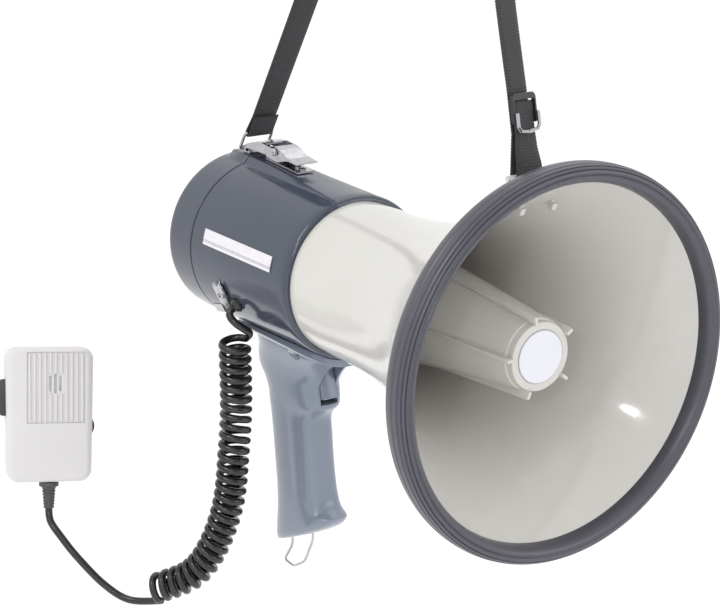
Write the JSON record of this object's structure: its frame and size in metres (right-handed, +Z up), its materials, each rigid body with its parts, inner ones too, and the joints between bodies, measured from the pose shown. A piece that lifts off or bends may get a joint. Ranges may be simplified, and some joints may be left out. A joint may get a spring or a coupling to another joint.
{
  "type": "hand megaphone",
  "caption": "Pistol-grip megaphone with a reflex horn, round battery casing, top toggle latch, fist microphone on a curly cord and a webbing shoulder strap.",
  "frame": {"origin": "the hold point: centre of the hand's closed fist on the pistol grip, 135 mm under the horn's axis and 268 mm behind the horn's mouth", "axes": "+X the way the horn points, +Z up, -Y the microphone's side"},
  "size_m": [0.4236, 0.2943, 0.6084],
  "materials": {
    "horn_plastic": "smooth gloss, cream",
    "casing_plastic": "smooth gloss, slate blue",
    "grip_plastic": "smooth gloss, lighter slate blue",
    "rim_rubber": "ribbed, satin",
    "seal_rubber": "matte",
    "badge_film": "printed film",
    "chromed_steel": "bright plated",
    "steel": "plain zinc-plated",
    "aluminium": "mill finish",
    "ferrite": "sintered ceramic, matte",
    "diaphragm_film": "resin film",
    "cell_jacket": "shrink jacket",
    "circuit_board": "solder mask",
    "black_plastic": "moulded",
    "dark_grey_plastic": "moulded, ribbed",
    "cord_jacket": "glossy soft jacket",
    "webbing": "woven, ribbed across",
    "label_film": "silvery printed film",
    "microphone_plastic": "fine spark-eroded grain"
  },
  "bodies": {
    "horn_and_casing": {"amplifier_board": "circuit_board", "battery_cell_1": "cell_jacket", "battery_cell_2": "cell_jacket", "battery_cell_3": "cell_jacket", "battery_cell_4": "cell_jacket", "battery_cell_5": "cell_jacket", "battery_cell_6": "cell_jacket", "battery_cell_7": "cell_jacket", "battery_cell_8": "cell_jacket", "battery_drum": "black_plastic", "bay_bulkhead": "black_plastic", "cord_curls": "cord_jacket", "cord_gland": "black_plastic", "cord_lead_in": "cord_jacket", "cord_lead_out": "cord_jacket", "cover_hinge_pin": "steel", "cover_seal": "seal_rubber", "driver_diaphragm": "diaphragm_film", "driver_front_plate": "steel", "driver_magnet": "ferrite", "driver_yoke": "steel", "front_strap_anchor": "horn_plastic", "grip": "grip_plastic", "grip_screw_left": "chromed_steel", "grip_screw_right": "chromed_steel", "heat_sink": "aluminium", "horn_bell": "horn_plastic", "lanyard_loop": "chromed_steel", "latch_base": "chromed_steel", "latch_base_pin": "steel", "main_casing": "casing_plastic", "mic_back_shell": "microphone_plastic", "mic_board": "circuit_board", "mic_boot": "black_plastic", "mic_capsule": "aluminium", "mic_front_shell": "microphone_plastic", "mic_hanger_stud": "chromed_steel", "microphone_clip": "chromed_steel", "name_label": "label_film", "output_transformer": "steel", "reflector_badge": "badge_film", "reflector_cup": "horn_plastic", "rim_bumper": "rim_rubber", "slider_bail": "chromed_steel", "strap_slider": "black_plastic", "strap_webbing": "webbing", "throat_tube": "horn_plastic", "trigger_pin": "steel", "trigger_spring": "steel", "trigger_switch": "black_plastic"},
    "cover": {"battery_cover": "casing_plastic", "latch_strike": "chromed_steel"},
    "strap_loop": {"rear_strap_loop": "chromed_steel"},
    "lever": {"latch_lever": "chromed_steel", "latch_claw_pin": "steel"},
    "claw": {"latch_claw": "chromed_steel"},
    "trigger": {"trigger": "grip_plastic"},
    "talk_button": {"ptt_button": "dark_grey_plastic"},
    "volume_wheel": {"volume_wheel": "dark_grey_plastic"}
  },
  "joints": [
    {"name": "latch_lever_hinge", "type": "hinge", "parent": "horn_and_casing", "child": "lever", "pos_m": [-0.028, 0, 0.2008], "axis": [0, -1, 0], "range_deg": [0, 44], "deforming": ["strap_webbing"]},
    {"name": "latch_claw_hinge", "type": "hinge", "parent": "lever", "child": "claw", "pos_m": [-0.021, 0, 0.2022], "axis": [0, -1, 0], "range_deg": [-44, 0], "deforming": ["strap_webbing"]},
    {"name": "cover_hinge", "type": "hinge", "parent": "horn_and_casing", "child": "cover", "pos_m": [-0.0517, 0, 0.0738], "axis": [0, -1, 0], "range_deg": [0, 95], "deforming": ["strap_webbing"]},
    {"name": "strap_loop_swing", "type": "hinge", "parent": "cover", "child": "strap_loop", "pos_m": [-0.0625, 0, 0.1983], "axis": [0, 1, 0], "range_deg": [-60, 0], "deforming": ["strap_webbing"]},
    {"name": "trigger_pull", "type": "hinge", "parent": "horn_and_casing", "child": "trigger", "pos_m": [0.016, 0, 0.067], "axis": [0, 1, 0], "range_deg": [0, 8], "stiffness_Nm_per_rad": 0.35, "springref_deg": -6.88},
    {"name": "talk_button_press", "type": "slide", "parent": "horn_and_casing", "child": "talk_button", "axis": [0.3499, 0.9338, -0.074], "range_m": [0, 0.002], "stiffness_N_per_m": 600, "springref_m": -0.001},
    {"name": "volume_wheel_turn", "type": "hinge", "parent": "horn_and_casing", "child": "volume_wheel", "pos_m": [-0.09654, -0.12289, 0.00859], "axis": [0.9032, -0.3154, 0.2913], "range_deg": [0, 270]}
  ],
  "couplings": [
    {"joint": "latch_claw_hinge", "follows": "latch_lever_hinge", "ratio": -1}
  ]
}
